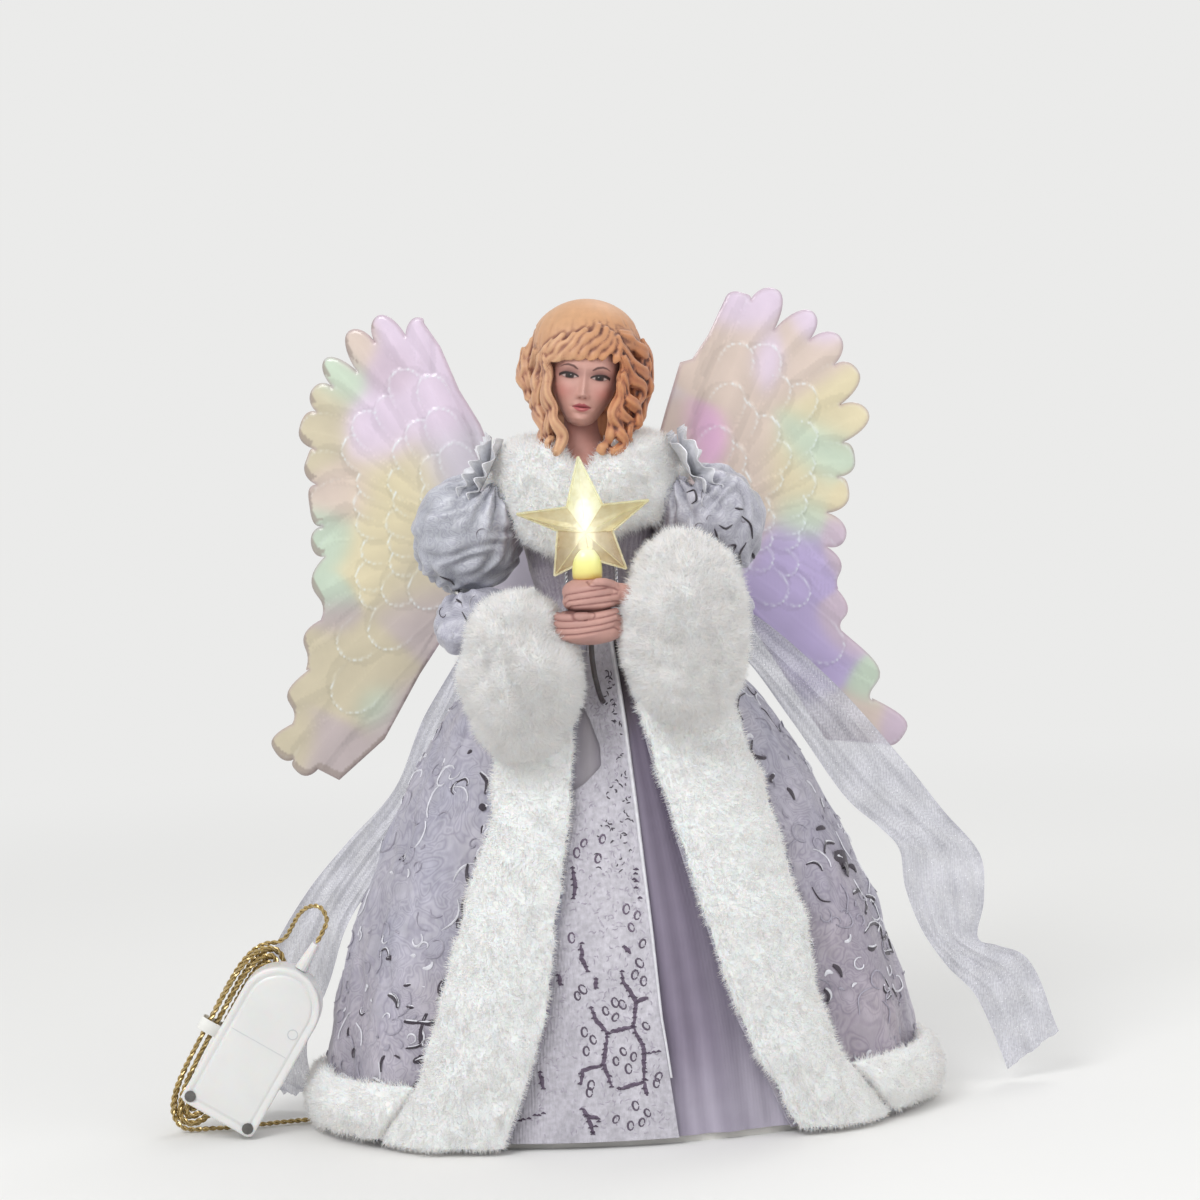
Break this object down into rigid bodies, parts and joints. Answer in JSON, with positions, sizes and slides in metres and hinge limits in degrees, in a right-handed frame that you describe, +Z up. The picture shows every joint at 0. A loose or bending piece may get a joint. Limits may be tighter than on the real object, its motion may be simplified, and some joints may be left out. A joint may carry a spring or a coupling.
{
  "type": "angel tree topper",
  "caption": "Gowned angel on a hollow bell for a tree's tip, with folding pearl wings, fur trim, a lit star held in both hands, and a battery box on a coiled lead.",
  "frame": {"origin": "middle of the lower face of the object's box, measured without the free cord; the bell's rim stands on z 0", "axes": "+Z up along the doll, -Y the way that the doll faces, +X towards its left hand"},
  "size_m": [0.2761, 0.116, 0.25],
  "materials": {
    "bell_card": "uncoated card",
    "gown_satin": "soft sheen satin",
    "lace": "metallic thread lace",
    "brocade": "brocade with foil scrolls",
    "fur": "long white pile",
    "silver_trim": "gathered silver ribbon",
    "organza": "sheer organza with glitter",
    "skin": "matt painted casting",
    "head_casting": "matt painted casting",
    "body_plastic": "plain moulding",
    "arm_wire": "bare wire",
    "pearl_plastic": "pearl, embossed with feathers",
    "white_plastic": "smooth moulding",
    "amber_plastic": "clear, polished",
    "lamp_glass": "clear, lit from inside",
    "dark_plastic": "plain moulding",
    "dark_screw": "dark nickel",
    "steel": "plain",
    "cord_plastic": "clear insulation over copper strands"
  },
  "bodies": {
    "doll": {"bell_form": "bell_card", "gown_skirt": "gown_satin", "lace_panel": "lace", "robe": "brocade", "fur_border_left": "fur", "fur_border_right": "fur", "fur_hem": "fur", "torso": "body_plastic", "bodice": "gown_satin", "bodice_piping_left": "silver_trim", "bodice_piping_right": "silver_trim", "head": "head_casting", "collar_fur": "fur", "arm_wire_left": "arm_wire", "arm_wire_right": "arm_wire", "hand_right": "skin", "hand_left": "skin", "shoulder_ruffle_left": "silver_trim", "puff_sleeve_left": "organza", "lower_sleeve_left": "brocade", "cuff_fur_left": "fur", "shoulder_ruffle_right": "silver_trim", "puff_sleeve_right": "organza", "lower_sleeve_right": "brocade", "cuff_fur_right": "fur", "lamp_socket": "dark_plastic", "bulb_collar": "amber_plastic", "star_bulb": "lamp_glass", "wing_bracket": "white_plastic", "wing_pin_left": "steel", "wing_pin_right": "steel", "bracket_screw_lower": "dark_screw", "bracket_screw_upper": "dark_screw", "organza_scarf": "organza", "box_base": "white_plastic", "coin_cell_1": "steel", "coin_cell_2": "steel", "contact_bridge": "steel", "contact_plus": "steel", "contact_minus": "steel", "switch_body": "dark_plastic", "strain_relief": "white_plastic", "lamp_lead": "cord_plastic", "floor_lead": "cord_plastic", "box_lead": "cord_plastic", "cord_hank": "cord_plastic", "hank_tie": "white_plastic"},
    "wing_left": {"wing_left": "pearl_plastic"},
    "wing_right": {"wing_right": "pearl_plastic"},
    "star": {"star_cover": "amber_plastic"},
    "battery_cover": {"box_cover": "white_plastic", "cover_screw_1": "dark_screw", "cover_screw_2": "dark_screw"},
    "switch": {"switch_knob": "dark_plastic"}
  },
  "joints": [
    {"name": "wing_left_fold", "type": "hinge", "parent": "doll", "child": "wing_left", "pos_m": [-0.01117, 0.02371, 0.1703], "axis": [0, 0, -1], "range_deg": [0, 60]},
    {"name": "wing_right_fold", "type": "hinge", "parent": "doll", "child": "wing_right", "pos_m": [0.00683, 0.02371, 0.1703], "axis": [0, 0, 1], "range_deg": [0, 60]},
    {"name": "star_lift", "type": "slide", "parent": "doll", "child": "star", "axis": [0, 0, 1], "range_m": [0, 0.03]},
    {"name": "battery_cover_lift", "type": "slide", "parent": "doll", "child": "battery_cover", "axis": [0, -1, 0], "range_m": [0, 0.02]},
    {"name": "switch_slide", "type": "slide", "parent": "doll", "child": "switch", "axis": [0.8387, 0, -0.5446], "range_m": [0, 0.003]}
  ]
}
